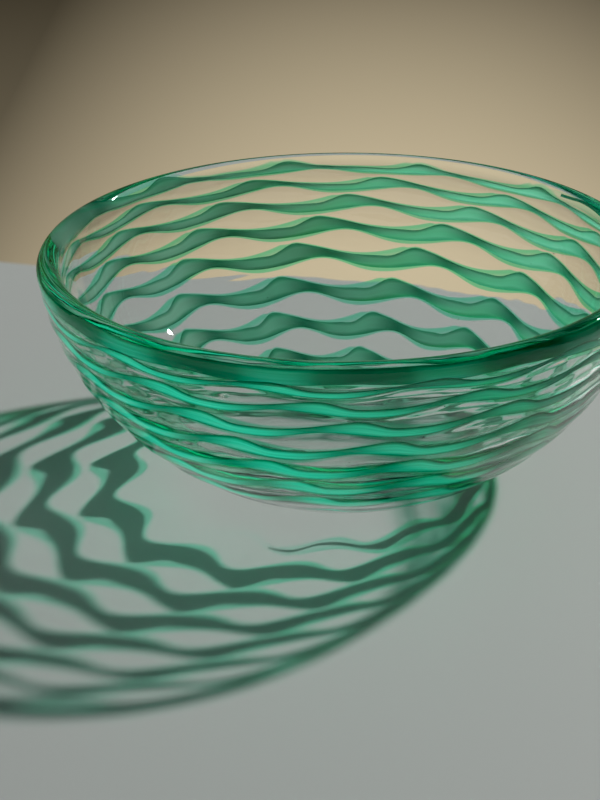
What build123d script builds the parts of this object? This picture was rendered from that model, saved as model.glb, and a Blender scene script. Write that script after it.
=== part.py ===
"""Hand-blown clear glass bowl with one green spiral trail cased in its wall.

All lengths are in millimetres. The origin is the centre of the ground base, +Z is up and is the
bowl's axis. Four pieces of glass are fused together: a clear inner gather, a two-layer coloured
cane wound round it as a spiral trail (opaline core in an emerald sheath), and a clear outer
casing that carries the rounded lip and the flat ground base.

The walls follow ellipses about the axis. A point of a wall is given by the ellipse's angle below
its centre, so that one angle and one inset say where anything lies in the glass.
"""

import math
import os

from build123d import *

# Outer wall: an ellipse about the axis, cut off flat at the ground base and stopped at the lip.
WALL_HALF_WIDTH = 141.0
WALL_DEPTH = 128.5
WALL_CENTRE_HEIGHT = 117.0
LIP_ANGLE = 7.1
LIP_RADIUS = 5.2

# Layers of clear glass.
CASING_THICKNESS = 5.2
PAD_THICKNESS = 5.0
FLOOR_HEIGHT = 13.0
FLOOR_REACH = 84.0
INNER_WALL_REACH = 56.0

# Spiral trail: turns, and the distance down the wall of its centre line, which opens out as it goes.
TRAIL_START_TURN = -0.8
TRAIL_END_TURN = 7.6
TRAIL_DEPTH = 2.8
TRAIL_PITCH = 7.4
TRAIL_PITCH_GROWTH = 0.95
TRAIL_INSET = 2.8
START_ANGLE = 90.0

# Inside the round lip the cane lies nearer the middle of the glass.
LIP_TURN = -0.4
LIP_INSET_PER_TURN = 2.0

# Optic ribs: the mould pressed twelve ribs, and twisting the hot glass laid their crests over.
RIBS = 12
CREST_ANGLE = 14.0
CREST_TWIST = 9.1
CREST_TWIST_LOSS = 0.45
WAVE_HEIGHT = 1.4
WAVE_HEIGHT_GROWTH = 0.05
WAVE_LAG = 0.16

# Cane section: a lens-shaped core, with less sheath over its faces than at its edges.
CORE_HALF_WIDTH = 1.6
CORE_HALF_WIDTH_GROWTH = 0.42
CORE_SWELL = 0.3
CORE_HALF_THICKNESS = 1.35
SHEATH_EDGE = 0.5
SHEATH_EDGE_GROWTH = 0.2
SHEATH_HALF_THICKNESS = 1.9
TAPER_TURNS = 0.25
TAPER_END = 0.35
STATIONS_PER_RIB = 6
LENGTHS = 9
CORE_END_GAP_STATIONS = 2


def wall_point(angle, inset):
    """Radius and height of the wall at an ellipse angle in degrees, inset from the outside."""
    turn = math.radians(angle)
    radius = (WALL_HALF_WIDTH - inset) * math.cos(turn)
    height = WALL_CENTRE_HEIGHT - (WALL_DEPTH - inset) * math.sin(turn)
    return radius, height


def wall_slope(angle, inset):
    """Unit step down the wall, as a change of radius and of height."""
    turn = math.radians(angle)
    outward = -(WALL_HALF_WIDTH - inset) * math.sin(turn)
    upward = -(WALL_DEPTH - inset) * math.cos(turn)
    length = math.hypot(outward, upward)
    return outward / length, upward / length


def angle_at_height(height, inset):
    """Ellipse angle in degrees at which the inset wall is at this height."""
    return math.degrees(math.asin((WALL_CENTRE_HEIGHT - height) / (WALL_DEPTH - inset)))


def angle_at_depth(depth, inset):
    """Ellipse angle in degrees at a distance down the inset wall from the lip."""
    steps = 24
    angle = LIP_ANGLE
    for _ in range(steps):
        turn = math.radians(angle)
        stretch = math.hypot(
            (WALL_HALF_WIDTH - inset) * math.sin(turn),
            (WALL_DEPTH - inset) * math.cos(turn),
        )
        angle += math.degrees(depth / steps / stretch)
    return angle


def rib_phase(turn):
    """Place between two crests at this turn of the trail, from 0 at a crest to 1 at the next."""
    trail_angle = START_ANGLE - 360 * turn
    crest = CREST_ANGLE + CREST_TWIST * turn - CREST_TWIST_LOSS * turn**2
    return (crest - trail_angle) * RIBS / 360


def taper(turn):
    """Share of the full section left at this turn: the cane was drawn thin at both ends."""
    from_end = min(turn - TRAIL_START_TURN, TRAIL_END_TURN - turn)
    return TAPER_END + (1 - TAPER_END) * min(1, from_end / TAPER_TURNS)


def trail_inset(turn):
    """Depth of the cane's middle under the outside of the glass at this turn."""
    return TRAIL_INSET + LIP_INSET_PER_TURN * max(0, LIP_TURN - turn)


def trail_plane(turn):
    """Plane across the trail at this turn, with its X down the wall and its Y through the wall."""
    wave = (WAVE_HEIGHT + WAVE_HEIGHT_GROWTH * turn) * math.cos(
        2 * math.pi * (rib_phase(turn) - WAVE_LAG)
    )
    depth = TRAIL_DEPTH + TRAIL_PITCH * turn + TRAIL_PITCH_GROWTH * turn**2 - wave
    inset = trail_inset(turn)
    angle = angle_at_depth(depth, inset)
    radius, height = wall_point(angle, inset)
    outward, upward = wall_slope(angle, inset)
    bearing = math.radians(START_ANGLE - 360 * turn)
    east, north = math.cos(bearing), math.sin(bearing)
    return Plane(
        origin=(radius * east, radius * north, height),
        x_dir=(outward * east, outward * north, upward),
        z_dir=(north, -east, 0),
    )


def core_half_width(turn):
    """Half the core's width across the trail: widest at each crest."""
    mean = CORE_HALF_WIDTH + CORE_HALF_WIDTH_GROWTH * turn
    return mean * (1 + CORE_SWELL * math.cos(2 * math.pi * rib_phase(turn)))


def cane_half_width(turn):
    """Half the whole cane's width: the core and the sheath's edge beside it."""
    return core_half_width(turn) + SHEATH_EDGE + SHEATH_EDGE_GROWTH * turn


def drawn_length(turns, half_width_at, half_thickness):
    """Solid drawn through lens sections at these turns, which are round where they are narrow."""
    with BuildPart() as length:
        for turn in turns:
            half_width = half_width_at(turn) * taper(turn)
            rise = min(half_thickness * taper(turn), half_width)
            with BuildSketch(trail_plane(turn)):
                with BuildLine():
                    ThreePointArc((-half_width, 0), (0, rise), (half_width, 0))
                    ThreePointArc((half_width, 0), (0, -rise), (-half_width, 0))
                make_face()
        loft()
    return length.part


# The spiral is drawn in lengths of about one turn, which share their end sections.
trail_turns = TRAIL_END_TURN - TRAIL_START_TURN
stations = round(trail_turns * RIBS * STATIONS_PER_RIB / LENGTHS)
length_turns = [
    [TRAIL_START_TURN + trail_turns * (i + j / stations) / LENGTHS for j in range(stations + 1)]
    for i in range(LENGTHS)
]
core_turns = [*length_turns]
core_turns[0] = core_turns[0][CORE_END_GAP_STATIONS:]
core_turns[-1] = core_turns[-1][:-CORE_END_GAP_STATIONS]
core_lengths = [
    drawn_length(turns, core_half_width, CORE_HALF_THICKNESS) for turns in core_turns
]
cane_lengths = [
    drawn_length(turns, cane_half_width, SHEATH_HALF_THICKNESS) for turns in length_turns
]
sheath_lengths = [cane - core for cane, core in zip(cane_lengths, core_lengths)]

# Opaline core of the cane, one continuous spiral.
with BuildPart() as trail_core:
    add(core_lengths)
trail_core.part.label = "trail_core"

# Emerald sheath: the cane less its core, closed over the core's two ends.
with BuildPart() as trail_sheath:
    add(sheath_lengths)
trail_sheath.part.label = "trail_sheath"

# Outside of the whole cane, which the casing flows round.
with BuildPart() as cane:
    add(cane_lengths)

# Points shared by the profiles of the two clear layers, all in the XZ plane.
lip_outer = Vector(*wall_point(LIP_ANGLE, 0))
lip_seam = Vector(*wall_point(LIP_ANGLE, CASING_THICKNESS))
through_wall = (lip_seam - lip_outer).normalized()
up_wall = Vector(through_wall.Y, -through_wall.X)
lip_centre = lip_outer + through_wall * LIP_RADIUS
lip_inner = lip_outer + through_wall * 2 * LIP_RADIUS
lip_top = lip_centre + up_wall * LIP_RADIUS
seam_foot_angle = angle_at_height(PAD_THICKNESS, CASING_THICKNESS)
seam_foot = Vector(*wall_point(seam_foot_angle, CASING_THICKNESS))
base_angle = angle_at_height(0, 0)
base_edge = Vector(*wall_point(base_angle, 0))
wall_centre = Vector(0, WALL_CENTRE_HEIGHT)

# Clear inner gather: the bubble that the trail was wound on. Its inside is the bowl's inside.
with BuildPart() as inner_gather:
    with BuildSketch(Plane.XZ):
        with BuildLine():
            EllipticalCenterArc(
                wall_centre,
                WALL_HALF_WIDTH - CASING_THICKNESS,
                WALL_DEPTH - CASING_THICKNESS,
                start_angle=-seam_foot_angle,
                arc_size=seam_foot_angle - LIP_ANGLE,
            )
            Line(lip_seam, lip_inner)
            Bezier(
                lip_inner,
                lip_inner - up_wall * INNER_WALL_REACH,
                (FLOOR_REACH, FLOOR_HEIGHT),
                (0, FLOOR_HEIGHT),
            )
            Line((0, FLOOR_HEIGHT), (0, PAD_THICKNESS))
            Line((0, PAD_THICKNESS), seam_foot)
        make_face()
    revolve(axis=Axis.Z)
inner_gather.part.label = "inner_gather"

# Clear outer casing: outer wall, fire-polished lip and ground base, closed round the cane.
with BuildPart() as outer_casing:
    with BuildSketch(Plane.XZ):
        with BuildLine():
            EllipticalCenterArc(
                wall_centre,
                WALL_HALF_WIDTH,
                WALL_DEPTH,
                start_angle=-base_angle,
                arc_size=base_angle - LIP_ANGLE,
            )
            ThreePointArc(lip_outer, lip_top, lip_inner)
            Line(lip_inner, lip_seam)
            EllipticalCenterArc(
                wall_centre,
                WALL_HALF_WIDTH - CASING_THICKNESS,
                WALL_DEPTH - CASING_THICKNESS,
                start_angle=-seam_foot_angle,
                arc_size=seam_foot_angle - LIP_ANGLE,
            )
            Line(seam_foot, (0, PAD_THICKNESS))
            Line((0, PAD_THICKNESS), (0, 0))
            Line((0, 0), base_edge)
        make_face()
    revolve(axis=Axis.Z)
    add(cane.part, mode=Mode.SUBTRACT)
outer_casing.part.label = "outer_casing"

os.makedirs("parts", exist_ok=True)
export_step(inner_gather.part, "parts/inner_gather.step")
export_step(trail_core.part, "parts/trail_core.step")
export_step(trail_sheath.part, "parts/trail_sheath.step")
export_step(outer_casing.part, "parts/outer_casing.step")
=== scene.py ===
"""Looks for the art glass bowl: clear glass body, green spiral trail, seeds, stage, light and camera.

Everything is in metres in the CAD frame: the base stands on z = 0 and +Z is the bowl's axis.
"""

import math

import bpy
import numpy as np
from mathutils import Matrix


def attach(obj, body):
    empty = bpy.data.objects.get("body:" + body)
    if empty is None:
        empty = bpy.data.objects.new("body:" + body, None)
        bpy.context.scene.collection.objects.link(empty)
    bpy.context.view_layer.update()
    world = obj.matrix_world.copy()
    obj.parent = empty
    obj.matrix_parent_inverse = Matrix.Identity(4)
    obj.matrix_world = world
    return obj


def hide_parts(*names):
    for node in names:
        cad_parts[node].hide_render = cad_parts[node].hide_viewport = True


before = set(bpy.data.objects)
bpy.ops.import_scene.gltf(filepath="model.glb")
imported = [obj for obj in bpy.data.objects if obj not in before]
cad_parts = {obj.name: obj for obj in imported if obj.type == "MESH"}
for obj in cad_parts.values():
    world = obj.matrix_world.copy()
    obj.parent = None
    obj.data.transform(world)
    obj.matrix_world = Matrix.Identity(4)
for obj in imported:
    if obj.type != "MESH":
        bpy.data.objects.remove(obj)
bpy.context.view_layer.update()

MM = 0.001

# Wall of the bowl, as in the CAD model: ellipses about the axis, inset from the outside.
WALL_HALF_WIDTH = 141.0 * MM
WALL_DEPTH = 128.5 * MM
WALL_CENTRE_HEIGHT = 117.0 * MM
LIP_ANGLE = math.radians(7.1)
LIP_RADIUS = 5.2 * MM
FLOOR_HEIGHT = 13.0 * MM
FLOOR_REACH = 84.0 * MM
INNER_WALL_REACH = 56.0 * MM
SKIN = 0.03 * MM

# Spiral trail: turns from the lip to the base, and its distance down the wall from the lip.
TRAIL_START_TURN = -0.92
TRAIL_END_TURN = 7.6
TRAIL_PITCH = 7.4 * MM
TRAIL_PITCH_GROWTH = 0.95 * MM
TRAIL_INSET = 2.8 * MM
START_ANGLE = 0.5 * math.pi
RIBS = 12
CREST_ANGLE = 14.0
CREST_TWIST = 9.1
CREST_TWIST_LOSS = 0.45
LIP_TURN = -0.4
LIP_INSET_PER_TURN = 4.0 * MM
FIRST_DEPTH = 1.1 * MM
HIGHEST = -0.9 * MM
SWING = 1.45
SWING_GROWTH = 0.25

# Wave of the trail, and how its lower turns lean and sag towards +Y.
WAVE_HEIGHT = 1.5 * MM
WAVE_PLACE = 0.66
WAVE_GROWTH = 0.12
CALM_SHARE = 0.3
CALM_ENDS = (-0.3, 0.6)
LEAN = 1.5 * MM
LEAN_TURN = 3.8
SAG = 0.35 * MM
SAG_TURN = 3.0

# Core of the cane: half its width in mm, the hooked crest, and how it widens inside the lip.
CORE_HALF_WIDTH = 1.35
CORE_GROWTH = 0.5
CORE_SWELL = 0.36
CORE_SWELL_PLACE = 0.92
CORE_NECK = 0.25 * MM
CORE_NECK_PLACE = 0.04
CORE_NARROWEST = 0.85 * MM
CORE_HALF_THICKNESS = 0.74 * MM
CORE_FULLNESS = 0.9
HOOK_START = 0.4
HOOK_GROWTH = 0.2
HOOK_LIMITS = (0.3, 1.9)
HOOK_RISE = 1.3
HOOK_PLACE = 0.84
HOOK_SHARPNESS = 5.0
HOOK_DIP = 0.9
DIP_PLACE = 0.02
DIP_SHARPNESS = 7.0
LEAVES_LIP = (-0.46, -0.12)
LIP_WIDENING = 2.4 * MM
LIP_DROP = 1.1 * MM
LIP_FRINGE = 0.8 * MM
LIP_TOP = -2.6
LIP_TOP_RISES = (-0.4, -0.6)
LIP_TOP_MARGIN = 0.45 * MM

# Sheath of the cane: how far its fringe reaches past the core, above and below, in mm.
SHEATH_HALF_THICKNESS = 1.75 * MM
SHEATH_WAIST = 0.5
SHEATH_FULLNESS = 0.34
WAIST_ENDS = (0.45, 0.8)
FRINGE = 0.5
FRINGE_GATHER = 1.3
FRINGE_POWER = 1.6
FRINGE_START = 0.55
FRINGE_GROWTH = 0.17
FRINGE_LIMITS = (0.45, 1.8)
GATHER_RISES = (0.1, 0.9)
GATHER_POWER = 1.3
GATHER_FALLS = (0.92, 1.0)
HOOK_FRINGE = 0.85
LOWER_FRINGE = 0.62
LOWER_FRINGE_GROWTH = 0.19
LOWER_FRINGE_SWELL = 0.2
LOWER_FRINGE_SWELL_GROWTH = 0.11
LOWER_FRINGE_PLACE = 0.75
LOWER_FRINGE_LEAST = 0.4 * MM
TAPER_TURNS = 0.22
TAPER_END = 0.1
STEPS_PER_RIB = 30
CREASE_PLACE = 0.33
# Cane inside the lip turned near-black green, deepest once in each rib: partly the thick cane's own colour,
# partly painted shade for the dark seen through the rounded lip.
LIP_SHADE_ENDS = (-0.4, 0.0)
LIP_SHADE = 1.2
LIP_SHADE_SWING = 0.5
LIP_SHADE_PLACE = 0.2
CORE_AROUND = 18
SHEATH_AROUND = 28
CORE_END_STEPS = 24

# Relief of the outside, which swells over each turn of the trail and dips between two turns.
RELIEF = 0.40 * MM
RELIEF_STARTS = (1 * MM, 8 * MM)
RELIEF_ENDS = (104 * MM, 116 * MM)

TAU = 2 * math.pi


def wall_point(angle, inset):
    """Radius and height of the wall at an ellipse angle, inset from the outside."""
    radius = (WALL_HALF_WIDTH - inset) * np.cos(angle)
    height = WALL_CENTRE_HEIGHT - (WALL_DEPTH - inset) * np.sin(angle)
    return radius, height


ANGLE_ABOVE_LIP = 0.12
ANGLES = np.linspace(LIP_ANGLE - ANGLE_ABOVE_LIP, 0.5 * math.pi, 6000)
RADII, HEIGHTS = wall_point(ANGLES, TRAIL_INSET)
RUN = np.concatenate([[0], np.cumsum(np.hypot(np.diff(RADII), np.diff(HEIGHTS)))])
RUN = RUN - np.interp(LIP_ANGLE, ANGLES, RUN)


def angle_at_depth(depth):
    """Ellipse angle at a distance down the wall from the lip, along the trail's own layer."""
    return np.interp(depth, RUN, ANGLES)


def rib_phase(turn):
    """Place between two crests at this turn of the trail: whole at each crest."""
    trail_angle = np.degrees(START_ANGLE) - 360 * turn
    crest = CREST_ANGLE + CREST_TWIST * turn - CREST_TWIST_LOSS * turn**2
    return (crest - trail_angle) * RIBS / 360


def smooth_step(low, high, value):
    """Rises gently from 0 at low to 1 at high."""
    share = np.clip((value - low) / (high - low), 0, 1)
    return share * share * (3 - 2 * share)


def new_piece(name, points, faces, material, slot):
    """Mesh object made from points and faces, with its finish; it rides on the bowl when a slot is given.
    """
    mesh = bpy.data.meshes.new(name)
    mesh.from_pydata(points.tolist(), [], faces)
    mesh.polygons.foreach_set("use_smooth", [True] * len(mesh.polygons))
    mesh.materials.append(material)
    mesh.update()
    piece = bpy.data.objects.new(name, mesh)
    bpy.context.scene.collection.objects.link(piece)
    if slot:
        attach(piece, "root")
    return piece


def store(piece, name, values):
    """Keeps one number for each vertex, for the material to read."""
    attribute = piece.data.attributes.new(name, "FLOAT", "POINT")
    attribute.data.foreach_set("value", np.asarray(values, np.float32).ravel())


# ---------------------------------------------------------------- materials

GLASS_IOR = 1.5
EMERALD = (0.04, 0.95, 0.70, 1)
EMERALD_DENSITY = 430.0
# Near-black green of the cane in the lip: partly its own deep colour, partly painted shade.
LIP_GREEN = (0.0, 0.05, 0.028, 1)


def new_material(name):
    """Empty material and its node tree."""
    material = bpy.data.materials.new(name)
    material.use_nodes = True
    material.node_tree.nodes.clear()
    return material, material.node_tree


def node(tree, kind, **values):
    """Adds a node of this kind, with these settings."""
    made = tree.nodes.new(kind)
    for key, value in values.items():
        setattr(made, key, value)
    return made


def clear_glass_material():
    """Clear glass that refracts what is seen and lets plain light straight through."""
    material, tree = new_material("clear_glass")
    out = node(tree, "ShaderNodeOutputMaterial")
    glass = node(tree, "ShaderNodeBsdfPrincipled")
    glass.inputs["Base Color"].default_value = (0.985, 0.995, 0.99, 1)
    glass.inputs["Roughness"].default_value = 0.0
    glass.inputs["IOR"].default_value = GLASS_IOR
    glass.inputs["Transmission Weight"].default_value = 1.0
    see_through = node(tree, "ShaderNodeBsdfTransparent")
    see_through.inputs["Color"].default_value = (0.95, 0.965, 0.96, 1)
    path = node(tree, "ShaderNodeLightPath")
    mix = node(tree, "ShaderNodeMixShader")
    soft = node(tree, "ShaderNodeMath", operation="MAXIMUM")
    tree.links.new(path.outputs["Is Shadow Ray"], soft.inputs[0])
    tree.links.new(path.outputs["Is Diffuse Ray"], soft.inputs[1])
    tree.links.new(soft.outputs[0], mix.inputs[0])
    tree.links.new(glass.outputs[0], mix.inputs[1])
    tree.links.new(see_through.outputs[0], mix.inputs[2])
    tree.links.new(mix.outputs[0], out.inputs["Surface"])
    return material


def sheath_material():
    """Emerald glass: its colour deepens with the thickness that light crosses."""
    material, tree = new_material("emerald_glass")
    out = node(tree, "ShaderNodeOutputMaterial")
    skin = node(tree, "ShaderNodeBsdfTransparent")
    skin.inputs["Color"].default_value = (1, 1, 1, 1)
    inside = node(tree, "ShaderNodeVolumeAbsorption")
    inside.inputs["Color"].default_value = EMERALD
    inside.inputs["Density"].default_value = EMERALD_DENSITY
    tree.links.new(skin.outputs[0], out.inputs["Surface"])
    tree.links.new(inside.outputs[0], out.inputs["Volume"])
    return material


def core_material():
    """Milky green glass: it scatters light through and back, darker at its edges and where it twists, and
    near-black green in the lip, partly its thick cane's own colour and partly painted shade.
    """
    material, tree = new_material("opaline_green_glass")
    out = node(tree, "ShaderNodeOutputMaterial")
    across = node(tree, "ShaderNodeAttribute", attribute_name="across")
    along = node(tree, "ShaderNodeAttribute", attribute_name="along")
    crease_and_lip_shade = node(tree, "ShaderNodeAttribute", attribute_name="crease_and_lip_shade")
    inward = node(tree, "ShaderNodeAttribute", attribute_name="inward")

    place = node(tree, "ShaderNodeCombineXYZ")
    tree.links.new(along.outputs["Fac"], place.inputs[0])
    tree.links.new(across.outputs["Fac"], place.inputs[1])
    stretch = node(tree, "ShaderNodeVectorMath", operation="MULTIPLY")
    stretch.inputs[1].default_value = (1.6, 4.5, 1.0)
    tree.links.new(place.outputs[0], stretch.inputs[0])
    streaks = node(tree, "ShaderNodeTexNoise", noise_dimensions="3D")
    streaks.inputs["Scale"].default_value = 1.0
    streaks.inputs["Detail"].default_value = 5.0
    streaks.inputs["Distortion"].default_value = 0.4
    tree.links.new(stretch.outputs[0], streaks.inputs["Vector"])
    silk = node(tree, "ShaderNodeMapRange")
    silk.inputs["From Min"].default_value = 0.3
    silk.inputs["From Max"].default_value = 0.7
    tree.links.new(streaks.outputs["Fac"], silk.inputs["Value"])

    size = node(tree, "ShaderNodeMath", operation="ABSOLUTE")
    tree.links.new(across.outputs["Fac"], size.inputs[0])
    edge = node(tree, "ShaderNodeMapRange", interpolation_type="SMOOTHSTEP")
    edge.inputs["From Min"].default_value = 0.34
    edge.inputs["From Max"].default_value = 0.92
    edge.inputs["To Max"].default_value = 0.95
    tree.links.new(size.outputs[0], edge.inputs["Value"])
    fold = node(tree, "ShaderNodeMath", operation="MULTIPLY")
    fold.inputs[1].default_value = 0.85
    tree.links.new(crease_and_lip_shade.outputs["Fac"], fold.inputs[0])
    clearer = node(tree, "ShaderNodeMapRange")
    clearer.inputs["From Min"].default_value = -0.3
    clearer.inputs["From Max"].default_value = 0.3
    clearer.inputs["To Min"].default_value = 1.0
    clearer.inputs["To Max"].default_value = 0.6
    tree.links.new(inward.outputs["Fac"], clearer.inputs["Value"])
    soft_edge = node(tree, "ShaderNodeMath", operation="MULTIPLY")
    tree.links.new(edge.outputs[0], soft_edge.inputs[0])
    tree.links.new(clearer.outputs[0], soft_edge.inputs[1])
    # Past 1 the value marks the lip, where the colour goes to the near-black green: partly painted shade.
    darkest = node(tree, "ShaderNodeMath", operation="SUBTRACT")
    darkest.use_clamp = True
    darkest.inputs[1].default_value = 1.0
    tree.links.new(crease_and_lip_shade.outputs["Fac"], darkest.inputs[0])
    depth = node(tree, "ShaderNodeMath", operation="MAXIMUM")
    tree.links.new(soft_edge.outputs[0], depth.inputs[0])
    tree.links.new(fold.outputs[0], depth.inputs[1])

    inner_side = node(tree, "ShaderNodeMapRange", interpolation_type="SMOOTHSTEP")
    inner_side.inputs["From Min"].default_value = -0.3
    inner_side.inputs["From Max"].default_value = 0.3
    tree.links.new(inward.outputs["Fac"], inner_side.inputs["Value"])

    def toned(thin, thick, paler, deep_colour):
        tone = node(tree, "ShaderNodeMix", data_type="RGBA")
        tone.inputs["A"].default_value = thin
        tone.inputs["B"].default_value = thick
        tree.links.new(silk.outputs[0], tone.inputs["Factor"])
        layered = node(tree, "ShaderNodeMix", data_type="RGBA")
        layered.inputs["B"].default_value = paler
        tree.links.new(tone.outputs["Result"], layered.inputs["A"])
        opal = node(tree, "ShaderNodeMath", operation="MULTIPLY")
        opal.inputs[1].default_value = 0.8
        tree.links.new(inner_side.outputs[0], opal.inputs[0])
        tree.links.new(opal.outputs[0], layered.inputs["Factor"])
        deep = node(tree, "ShaderNodeMix", data_type="RGBA")
        deep.inputs["B"].default_value = deep_colour
        tree.links.new(layered.outputs["Result"], deep.inputs["A"])
        tree.links.new(depth.outputs[0], deep.inputs["Factor"])
        lip = node(tree, "ShaderNodeMix", data_type="RGBA")
        lip.inputs["B"].default_value = LIP_GREEN
        tree.links.new(deep.outputs["Result"], lip.inputs["A"])
        tree.links.new(darkest.outputs[0], lip.inputs["Factor"])
        return lip.outputs["Result"]

    milk = node(tree, "ShaderNodeBsdfTranslucent")
    face = node(tree, "ShaderNodeBsdfDiffuse")
    milk_colour = toned(
        thin=(0.04, 0.70, 0.56, 1),
        thick=(0.12, 0.95, 0.82, 1),
        paler=(0.86, 0.94, 0.88, 1),
        deep_colour=(0.0, 0.22, 0.14, 1),
    )
    face_colour = toned(
        thin=(0.06, 0.42, 0.34, 1),
        thick=(0.14, 0.62, 0.54, 1),
        paler=(0.60, 0.62, 0.58, 1),
        deep_colour=(0.0, 0.10, 0.065, 1),
    )
    tree.links.new(milk_colour, milk.inputs["Color"])
    tree.links.new(face_colour, face.inputs["Color"])
    body = node(tree, "ShaderNodeMixShader")
    body.inputs[0].default_value = 0.34
    tree.links.new(milk.outputs[0], body.inputs[1])
    tree.links.new(face.outputs[0], body.inputs[2])

    tinted = node(tree, "ShaderNodeBsdfTransparent")
    tinted.inputs["Color"].default_value = (0.45, 0.95, 0.75, 1)
    outer = node(tree, "ShaderNodeMixShader")
    outer.inputs[0].default_value = 0.92
    tree.links.new(tinted.outputs[0], outer.inputs[1])
    tree.links.new(body.outputs[0], outer.inputs[2])
    leaving = node(tree, "ShaderNodeBsdfTransparent")
    leaving.inputs["Color"].default_value = (1, 1, 1, 1)
    sided = node(tree, "ShaderNodeNewGeometry")
    mix = node(tree, "ShaderNodeMixShader")
    tree.links.new(sided.outputs["Backfacing"], mix.inputs[0])
    tree.links.new(outer.outputs[0], mix.inputs[1])
    tree.links.new(leaving.outputs[0], mix.inputs[2])
    tree.links.new(mix.outputs[0], out.inputs["Surface"])
    return material


# ---------------------------------------------------------------- clear body


SEGMENTS = 360
WALL_ROWS = 130
BASE_ROWS = 8
LIP_ROWS = 26
INNER_ROWS = 109

# Slight ripple of the inside: two slanting waves, each with its count round the bowl, climb and start.
RIPPLE = 0.05 * MM
FIRST_WAVES, FIRST_CLIMB, FIRST_START = 61, 220, -2.55
SECOND_WAVES, SECOND_CLIMB, SECOND_START = 43, -310, 2.44
SECOND_SHARE = 0.7


def relief(angle, bearing):
    """How far the outside dips at a place on the wall: most half way between two turns."""
    down = np.interp(angle, ANGLES, RUN)
    turn = (START_ANGLE - bearing) / TAU
    levels = np.linspace(-2, 9, 2000)
    mean_line = trail_middle(levels)
    level = np.interp(down, mean_line, levels)
    nearest = turn + np.round(level - turn)
    for _ in range(2):
        wave = trail_wave(rib_phase(nearest)) + trail_lean(nearest)
        level = np.interp(down - wave, mean_line, levels)
    fade = smooth_step(*RELIEF_STARTS, down) * (1 - smooth_step(*RELIEF_ENDS, down))
    return RELIEF * fade * (0.5 - 0.5 * np.cos(TAU * (level - turn)))


def body_profile():
    """Closed profile of the clear glass from the base's centre, round the lip, to the floor's centre."""
    base_angle = math.asin(WALL_CENTRE_HEIGHT / WALL_DEPTH)
    lip = np.array(wall_point(LIP_ANGLE, 0))
    deeper = np.array(wall_point(LIP_ANGLE, 1 * MM))
    through = (deeper - lip) / np.linalg.norm(deeper - lip)
    up = np.array([through[1], -through[0]])
    inner = lip + through * 2 * LIP_RADIUS
    centre = lip + through * LIP_RADIUS

    base_radius = wall_point(base_angle, 0)[0]
    points = [(base_radius * share, 0.0) for share in np.linspace(0, 1, BASE_ROWS + 2)[1:-1]]
    for angle in np.linspace(base_angle, LIP_ANGLE, WALL_ROWS):
        points.append(wall_point(angle, 0))
    for turn in np.linspace(0, math.pi, LIP_ROWS)[1:-1]:
        points.append(tuple(centre + LIP_RADIUS * (up * math.sin(turn) - through * math.cos(turn))))
    handle = inner - up * INNER_WALL_REACH
    controls = np.array([inner, handle, (FLOOR_REACH, FLOOR_HEIGHT), (0, FLOOR_HEIGHT)])
    for share in np.linspace(0, 1, INNER_ROWS + 1)[:-1]:
        rest = 1 - share
        weights = np.array([rest**3, 3 * rest**2 * share, 3 * rest * share**2, share**3])
        points.append(tuple(weights @ controls))
    return np.array(points)


def ripple(bearing, height):
    """How far the inside swells outward at a place on the wall, before it is calmed at its ends."""
    first = np.sin(FIRST_WAVES * bearing + FIRST_CLIMB * height + FIRST_START)
    second = np.sin(SECOND_WAVES * bearing + SECOND_CLIMB * height + SECOND_START)
    return first + SECOND_SHARE * second


def build_body(material):
    """Clear glass of the whole bowl, with the relief of its outside and the ripple of its inside."""
    segments = SEGMENTS
    profile = body_profile()
    rows = len(profile)
    turns = np.arange(segments) * TAU / segments
    radius = profile[:, 0][:, None] * np.ones(segments)
    height = profile[:, 1][:, None] * np.ones(segments)
    base_angle = math.asin(WALL_CENTRE_HEIGHT / WALL_DEPTH)
    wall_angles = np.linspace(base_angle, LIP_ANGLE, WALL_ROWS)
    for row in range(1, WALL_ROWS - 1):
        dip = relief(wall_angles[row], turns) + SKIN
        radius[BASE_ROWS + row], height[BASE_ROWS + row] = wall_point(wall_angles[row], dip)
    inner = slice(rows - INNER_ROWS, rows)
    calm = np.sin(np.linspace(0, math.pi, INNER_ROWS))[:, None] ** 0.5
    radius[inner] += RIPPLE * calm * ripple(turns, height[inner])
    grid = np.stack([radius * np.cos(turns), radius * np.sin(turns), height], axis=-1)
    points = np.concatenate([grid.reshape(-1, 3), [[0, 0, 0], [0, 0, FLOOR_HEIGHT]]])
    faces = []
    for i in range(rows - 1):
        for j in range(segments):
            k = (j + 1) % segments
            row, after = i * segments, (i + 1) * segments
            faces.append((row + j, row + k, after + k, after + j))
    bottom, top = rows * segments, rows * segments + 1
    last = (rows - 1) * segments
    for j in range(segments):
        k = (j + 1) % segments
        faces.append((bottom, k, j))
        faces.append((top, last + j, last + k))
    return new_piece("glass_body", points, faces, material, "clear_glass")


# ---------------------------------------------------------------- spiral trail


def trail_middle(turn):
    """Distance down the wall of the trail's mean line."""
    swing = (SWING + SWING_GROWTH * np.clip(turn, 0, 5)) * MM
    return np.maximum(FIRST_DEPTH + TRAIL_PITCH * turn + TRAIL_PITCH_GROWTH * turn**2 + swing, HIGHEST)


def trail_lean(turn):
    """The lower turns were laid a little deeper on the side at +Y and higher on the other side."""
    side = np.cos(TAU * turn)
    sag = SAG * np.clip(turn - SAG_TURN, 0, 5) ** 2 * (0.5 + 0.5 * side)
    return LEAN * np.clip(turn - LEAN_TURN, 0, 4) * side + sag


def trail_wave(phase):
    """How far the trail lies below its mean line: it rises to a crest once in each rib."""
    return WAVE_HEIGHT * np.cos(TAU * (phase - WAVE_PLACE))


def bump(phase, place, sharpness):
    """Smooth bump once in each rib, one high at its place."""
    return np.exp(sharpness * (np.cos(TAU * (phase - place)) - 1))


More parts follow.
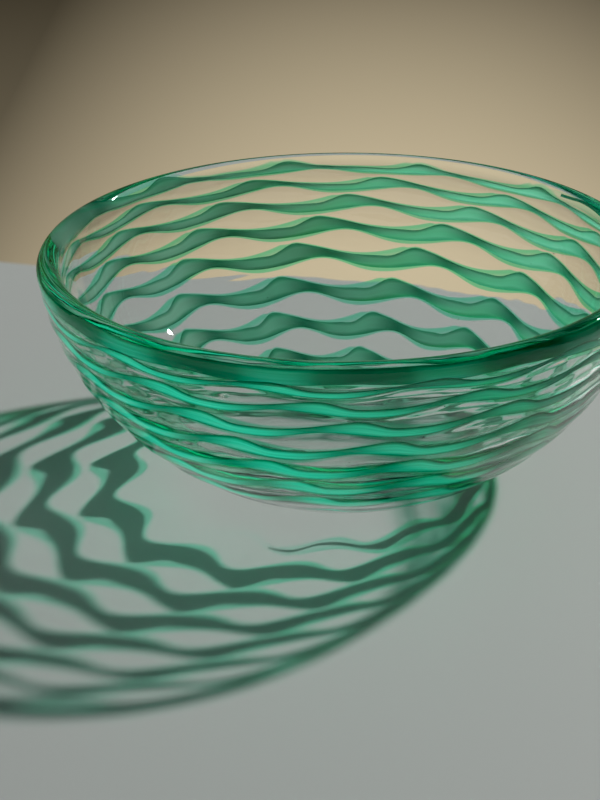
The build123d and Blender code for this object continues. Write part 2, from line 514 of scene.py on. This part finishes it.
def trail_shape(turn):
    """Edges of the core and of the sheath, as distances down the wall, at each turn."""
    phase = rib_phase(turn)
    place = phase - np.floor(phase)
    growth = np.clip(HOOK_START + HOOK_GROWTH * turn, *HOOK_LIMITS)
    in_lip = 1 - smooth_step(*LEAVES_LIP, turn)
    calm = CALM_SHARE + (1 - CALM_SHARE) * smooth_step(*CALM_ENDS, turn)
    wave = trail_wave(phase) * (1 + WAVE_GROWTH * np.clip(turn, 0, 8)) * calm
    centre = trail_middle(turn) + trail_lean(turn) + wave + LIP_DROP * in_lip
    swell = 1 + CORE_SWELL * np.cos(TAU * (phase - CORE_SWELL_PLACE))
    width = (CORE_HALF_WIDTH + CORE_GROWTH * turn) * MM * swell
    width = width + CORE_NECK * np.cos(2 * TAU * (phase - CORE_NECK_PLACE))
    width = np.maximum(width, CORE_NARROWEST) + LIP_WIDENING * in_lip
    rise = HOOK_RISE * bump(phase, HOOK_PLACE, HOOK_SHARPNESS)
    hook = (rise - HOOK_DIP * bump(phase, DIP_PLACE, DIP_SHARPNESS)) * growth * MM * (1 - in_lip)
    highest = (LIP_TOP - smooth_step(*LIP_TOP_RISES, turn)) * MM
    core_top = np.maximum(centre - width + hook, highest)
    core_bottom = centre + width
    drop = smooth_step(*GATHER_RISES, place) ** GATHER_POWER * (1 - smooth_step(*GATHER_FALLS, place))
    fringe_growth = np.clip(FRINGE_START + FRINGE_GROWTH * turn, *FRINGE_LIMITS)
    upper = (FRINGE + FRINGE_GATHER * drop**FRINGE_POWER) * fringe_growth * MM
    lower_swell = LOWER_FRINGE_SWELL + LOWER_FRINGE_SWELL_GROWTH * turn
    lower_swell = lower_swell * np.cos(TAU * (phase - LOWER_FRINGE_PLACE))
    lower = np.maximum((LOWER_FRINGE + LOWER_FRINGE_GROWTH * turn + lower_swell) * MM, LOWER_FRINGE_LEAST)
    above = upper + np.maximum(hook, 0) * HOOK_FRINGE
    cane_top = np.maximum(core_top - above, highest - LIP_TOP_MARGIN)
    return core_top, core_bottom, cane_top, core_bottom + lower + LIP_FRINGE * in_lip, phase


def ribbon(name, turns, top, bottom, thickness, waist, fullness, around, material, slot):
    """Closed ribbon of glass in the wall, between two edges that are distances down the wall.

    The waist is the share of its thickness that is left in its middle.
    """
    from_end = np.minimum(turns - turns[0], turns[-1] - turns)
    taper = TAPER_END + (1 - TAPER_END) * smooth_step(0, TAPER_TURNS, from_end)
    middle, half = (top + bottom) / 2, (bottom - top) / 2 * taper
    section = np.arange(around) * TAU / around
    down = middle[:, None] + half[:, None] * np.cos(section)
    middle_inset = TRAIL_INSET + LIP_INSET_PER_TURN * np.maximum(0, LIP_TURN - turns)
    thick = np.minimum(thickness, half) * taper
    flat = np.sign(np.sin(section)) * np.abs(np.sin(section)) ** fullness
    flat = flat * (waist + (1 - waist) * smooth_step(*WAIST_ENDS, np.abs(np.cos(section))))
    through = middle_inset[:, None] + thick[:, None] * flat
    angle = angle_at_depth(down)
    radius, height = wall_point(angle, through)
    bearing = (START_ANGLE - TAU * turns)[:, None]
    grid = np.stack([radius * np.cos(bearing), radius * np.sin(bearing), height], axis=-1)
    rows = len(turns)
    faces = []
    for i in range(rows - 1):
        for j in range(around):
            k = (j + 1) % around
            faces.append((i * around + j, (i + 1) * around + j, (i + 1) * around + k, i * around + k))
    faces.append(tuple(range(around)))
    faces.append(tuple(reversed(range((rows - 1) * around, rows * around))))
    piece = new_piece(name, grid.reshape(-1, 3), faces, material, slot)
    store(piece, "across", np.cos(section) * np.ones((rows, 1)))
    store(piece, "inward", np.sin(section) * np.ones((rows, 1)))
    return piece


def build_trail(core_finish, sheath_finish):
    """Milky core and clear emerald sheath of the cane, each one closed ribbon."""
    steps = int((TRAIL_END_TURN - TRAIL_START_TURN) * RIBS * STEPS_PER_RIB)
    turns = np.linspace(TRAIL_START_TURN, TRAIL_END_TURN, steps)
    core_top, core_bottom, cane_top, cane_bottom, phase = trail_shape(turns)
    sheath = ribbon(
        "trail_sheath_glass", turns, cane_top, cane_bottom,
        SHEATH_HALF_THICKNESS, SHEATH_WAIST, SHEATH_FULLNESS, SHEATH_AROUND, sheath_finish, "emerald_glass",
    )
    inner = slice(CORE_END_STEPS, -CORE_END_STEPS)
    core = ribbon(
        "trail_core_glass", turns[inner], core_top[inner], core_bottom[inner],
        CORE_HALF_THICKNESS, 1.0, CORE_FULLNESS, CORE_AROUND, core_finish, "opaline_green_glass",
    )
    store(core, "along", np.repeat(phase[inner], CORE_AROUND))
    narrow = (0.5 + 0.5 * np.cos(TAU * (phase[inner] - CREASE_PLACE))) ** 2
    # In the lip the value is raised past 1: painted shade, partly the thick cane's own colour, deepest once
    # in each rib.
    in_lip = 1 - smooth_step(*LIP_SHADE_ENDS, turns[inner])
    lip_shade = LIP_SHADE + LIP_SHADE_SWING * np.cos(TAU * (phase[inner] - LIP_SHADE_PLACE))
    store(core, "crease_and_lip_shade", np.repeat(np.maximum(narrow, in_lip * lip_shade), CORE_AROUND))
    return sheath, core


glass = build_body(clear_glass_material())
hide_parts("inner_gather", "outer_casing")
sheath, core = build_trail(core_material(), sheath_material())
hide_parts("trail_sheath")
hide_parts("trail_core")

# ---------------------------------------------------------------- seeds

SEED_COUNT = 70
SEED_SMALLEST = 0.16 * MM
SEED_LARGEST = 0.42 * MM
SEED_DEPTHS = (6 * MM, 100 * MM)
SEED_INSETS = (5.2, 7.4)
SEED_STRETCH = (1.0, 1.7)


def seed_material():
    """Inside of a bubble: light passes from glass into air."""
    material, tree = new_material("seed_air")
    out = node(tree, "ShaderNodeOutputMaterial")
    skin = node(tree, "ShaderNodeBsdfGlass")
    skin.inputs["Roughness"].default_value = 0.0
    skin.inputs["IOR"].default_value = 1 / GLASS_IOR
    tree.links.new(skin.outputs[0], out.inputs["Surface"])
    return material


def build_seeds(material):
    """Small bubbles caught between the trail and the inside, drawn out along the wall."""
    dice = np.random.default_rng(7)
    rings, around = 6, 8
    points, faces = [], []
    for _ in range(SEED_COUNT):
        angle = angle_at_depth(dice.uniform(*SEED_DEPTHS))
        inset = dice.uniform(*SEED_INSETS) * MM
        bearing = dice.uniform(0, TAU)
        size = SEED_SMALLEST + (SEED_LARGEST - SEED_SMALLEST) * dice.random() ** 2
        stretch = dice.uniform(*SEED_STRETCH)
        radius, height = wall_point(angle, inset)
        centre = np.array([radius * math.cos(bearing), radius * math.sin(bearing), height])
        along = np.array([-math.sin(bearing), math.cos(bearing), 0])
        outward = np.array([math.cos(bearing), math.sin(bearing), 0])
        first = len(points)
        points.append(centre + [0, 0, size])
        for ring in range(1, rings):
            tilt = math.pi * ring / rings
            for step in range(around):
                turn = TAU * step / around
                offset = along * math.cos(turn) * stretch + outward * math.sin(turn)
                points.append(centre + size * (offset * math.sin(tilt) + np.array([0, 0, math.cos(tilt)])))
        points.append(centre - [0, 0, size])
        last = len(points) - 1
        for step in range(around):
            after = (step + 1) % around
            faces.append((first, first + 1 + step, first + 1 + after))
            faces.append((last, last - around + after, last - around + step))
            for ring in range(rings - 2):
                row = first + 1 + ring * around
                faces.append((row + step, row + around + step, row + around + after, row + after))
    return new_piece("glass_seeds", np.array(points), faces, material, "clear_glass")


build_seeds(seed_material())

# ---------------------------------------------------------------- stage

FLOOR_BACK_EDGE = 0.2076
EDGE_SLANT = 0.26
EDGE_BLUR = 0.004
FLOOR_REACHES = 1.9
COVE_RADIUS = 0.3
WALL_TOP = 0.9
FADE_STARTS = 0.257
STONE_COLOUR = (0.50, 0.54, 0.54, 1)
STONE_ROUGHNESS = 0.5
# Warm glow behind the floor's back edge: painted light from an emitting surface, brightest near the bowl,
# fading farther back and to the sides.
PAPER_GLOW_COLOUR = (1.0, 0.84, 0.56, 1)
GLOW_NEAR = 0.62
GLOW_FAR = 0.17
GLOW_CENTRE = 0.03
GLOW_SPREAD = 0.075
GLOW_ASIDE = 0.25
GLOW_EVENS = (1.2, 1.85)
GLOW_EVENED = 0.6


def build_stage():
    """Round pale floor with a cove and a low wall, stone in front and behind it a warm backdrop that glows
    with painted light, brightest near the bowl and fading farther back and to the sides.
    """
    segments = 128
    profile = [(0.5, 0.0), (FLOOR_REACHES, 0.0)]
    for turn in np.linspace(0, 0.5 * math.pi, 16)[1:]:
        reach = FLOOR_REACHES + COVE_RADIUS * math.sin(turn)
        profile.append((reach, COVE_RADIUS - COVE_RADIUS * math.cos(turn)))
    profile.append((FLOOR_REACHES + COVE_RADIUS, WALL_TOP))
    profile = np.array(profile)
    turns = np.arange(segments) * TAU / segments
    grid = np.stack([
        profile[:, 0][:, None] * np.cos(turns),
        profile[:, 0][:, None] * np.sin(turns),
        profile[:, 1][:, None] * np.ones(segments),
    ], axis=-1)
    points = np.concatenate([grid.reshape(-1, 3), [[0, 0, 0]]])
    faces = []
    for i in range(len(profile) - 1):
        for j in range(segments):
            k = (j + 1) % segments
            row, after = i * segments, (i + 1) * segments
            faces.append((row + j, after + j, after + k, row + k))
    for j in range(segments):
        faces.append((len(profile) * segments, j, (j + 1) % segments))
    material, tree = new_material("stage_floor")
    out = node(tree, "ShaderNodeOutputMaterial")
    where = node(tree, "ShaderNodeTexCoord")
    parts = node(tree, "ShaderNodeSeparateXYZ")
    tree.links.new(where.outputs["Object"], parts.inputs[0])
    edge = node(tree, "ShaderNodeMapRange", interpolation_type="SMOOTHSTEP")
    edge.inputs["From Min"].default_value = FLOOR_BACK_EDGE - EDGE_BLUR
    edge.inputs["From Max"].default_value = FLOOR_BACK_EDGE + EDGE_BLUR
    slant = node(tree, "ShaderNodeMath", operation="MULTIPLY_ADD")
    slant.inputs[1].default_value = EDGE_SLANT
    tree.links.new(parts.outputs["X"], slant.inputs[0])
    tree.links.new(parts.outputs["Y"], slant.inputs[2])
    tree.links.new(slant.outputs[0], edge.inputs["Value"])
    # Painted light: the glow fades farther back and away from its centre to the sides, and evens out far
    # behind.
    fade = node(tree, "ShaderNodeMapRange")
    fade.inputs["From Min"].default_value = FADE_STARTS
    fade.inputs["From Max"].default_value = 1.0
    fade.inputs["To Min"].default_value = GLOW_NEAR
    fade.inputs["To Max"].default_value = GLOW_FAR
    tree.links.new(parts.outputs["Y"], fade.inputs["Value"])
    aside = node(tree, "ShaderNodeMath", operation="SUBTRACT")
    aside.inputs[1].default_value = GLOW_CENTRE
    tree.links.new(parts.outputs["X"], aside.inputs[0])
    square = node(tree, "ShaderNodeMath", operation="MULTIPLY")
    tree.links.new(aside.outputs[0], square.inputs[0])
    tree.links.new(aside.outputs[0], square.inputs[1])
    corner = node(tree, "ShaderNodeMapRange")
    corner.inputs["From Max"].default_value = GLOW_SPREAD
    corner.inputs["To Min"].default_value = 1.0
    corner.inputs["To Max"].default_value = GLOW_ASIDE
    tree.links.new(square.outputs[0], corner.inputs["Value"])
    far = node(tree, "ShaderNodeMapRange", interpolation_type="SMOOTHSTEP")
    far.inputs["From Min"].default_value = GLOW_EVENS[0]
    far.inputs["From Max"].default_value = GLOW_EVENS[1]
    tree.links.new(parts.outputs["Y"], far.inputs["Value"])
    evened = node(tree, "ShaderNodeMix", data_type="FLOAT")
    tree.links.new(far.outputs[0], evened.inputs["Factor"])
    tree.links.new(corner.outputs[0], evened.inputs["A"])
    evened.inputs["B"].default_value = GLOW_EVENED
    glow = node(tree, "ShaderNodeMath", operation="MULTIPLY")
    tree.links.new(fade.outputs[0], glow.inputs[0])
    tree.links.new(evened.outputs["Result"], glow.inputs[1])
    stone = node(tree, "ShaderNodeBsdfPrincipled")
    stone.inputs["Base Color"].default_value = STONE_COLOUR
    stone.inputs["Roughness"].default_value = STONE_ROUGHNESS
    # The warm backdrop is an emission: a painted glow, not a lamp.
    paper_glow = node(tree, "ShaderNodeEmission")
    paper_glow.inputs["Color"].default_value = PAPER_GLOW_COLOUR
    tree.links.new(glow.outputs[0], paper_glow.inputs["Strength"])
    mix = node(tree, "ShaderNodeMixShader")
    tree.links.new(edge.outputs[0], mix.inputs[0])
    tree.links.new(stone.outputs[0], mix.inputs[1])
    tree.links.new(paper_glow.outputs[0], mix.inputs[2])
    tree.links.new(mix.outputs[0], out.inputs["Surface"])
    floor = new_piece("stage_floor", points, faces, material, None)


build_stage()

# ---------------------------------------------------------------- light

KEY_PLACE = (2.56, 1.90, 2.42)
KEY_SIZE = 0.20
KEY_POWER = 160.0
KEY_COLOUR = (1.0, 0.97, 0.92)
FILL_COLOUR = (0.9, 0.95, 1.0, 1)
FILL_STRENGTH = 0.06


def area_light(name, place, target, size, power, colour):
    """Round soft light at a place, turned to its target."""
    light = bpy.data.lights.new(name, "AREA")
    light.shape = "DISK"
    light.size = size
    light.energy = power
    light.color = colour
    lamp = bpy.data.objects.new(name, light)
    bpy.context.scene.collection.objects.link(lamp)
    direction = Matrix.Identity(4)
    away = np.array(place) - np.array(target)
    away = away / np.linalg.norm(away)
    side = np.cross([0, 0, 1], away)
    side = side / np.linalg.norm(side)
    up = np.cross(away, side)
    for row in range(3):
        direction[row][0] = side[row]
        direction[row][1] = up[row]
        direction[row][2] = away[row]
        direction[row][3] = place[row]
    lamp.matrix_world = direction
    return lamp


area_light("key", KEY_PLACE, (0, 0, 0), KEY_SIZE, KEY_POWER, KEY_COLOUR)

world = bpy.data.worlds.new("studio")
world.use_nodes = True
world.node_tree.nodes["Background"].inputs["Color"].default_value = FILL_COLOUR
world.node_tree.nodes["Background"].inputs["Strength"].default_value = FILL_STRENGTH
bpy.context.scene.world = world

# ---------------------------------------------------------------- camera

CAMERA_DISTANCE = 1.0
CAMERA_ELEVATION = 0.3982
CAMERA_TARGET_HEIGHT = 0.060
CAMERA_PAN = -0.0206
CAMERA_TILT = 0.0281
CAMERA_SENSOR = 36
CAMERA_LENS = 96.8
BLACK_LEVEL = 0.006

right = np.array([1.0, 0, 0])
ahead = np.array([0, math.cos(CAMERA_ELEVATION), -math.sin(CAMERA_ELEVATION)])
above = np.array([0, math.sin(CAMERA_ELEVATION), math.cos(CAMERA_ELEVATION)])
panned = ahead * math.cos(CAMERA_PAN) + right * math.sin(CAMERA_PAN)
side = right * math.cos(CAMERA_PAN) - ahead * math.sin(CAMERA_PAN)
look = panned * math.cos(CAMERA_TILT) - above * math.sin(CAMERA_TILT)
head = above * math.cos(CAMERA_TILT) + panned * math.sin(CAMERA_TILT)
place = -ahead * CAMERA_DISTANCE + np.array([0, 0, CAMERA_TARGET_HEIGHT])

camera_data = bpy.data.cameras.new("camera")
camera_data.sensor_width = CAMERA_SENSOR
camera_data.lens = CAMERA_LENS
camera_data.clip_start = 0.01
camera = bpy.data.objects.new("camera", camera_data)
bpy.context.scene.collection.objects.link(camera)
pose = Matrix.Identity(4)
for row in range(3):
    pose[row][0] = side[row]
    pose[row][1] = head[row]
    pose[row][2] = -look[row]
    pose[row][3] = place[row]
camera.matrix_world = pose
bpy.context.scene.camera = camera

scene = bpy.context.scene
scene.view_settings.view_transform = "Standard"
scene.view_settings.use_curve_mapping = True
scene.view_settings.curve_mapping.black_level = (BLACK_LEVEL, BLACK_LEVEL, BLACK_LEVEL)
scene.view_settings.curve_mapping.update()
scene.cycles.max_bounces = 32
scene.cycles.transmission_bounces = 32
scene.cycles.transparent_max_bounces = 64
scene.cycles.sample_clamp_indirect = 4.0
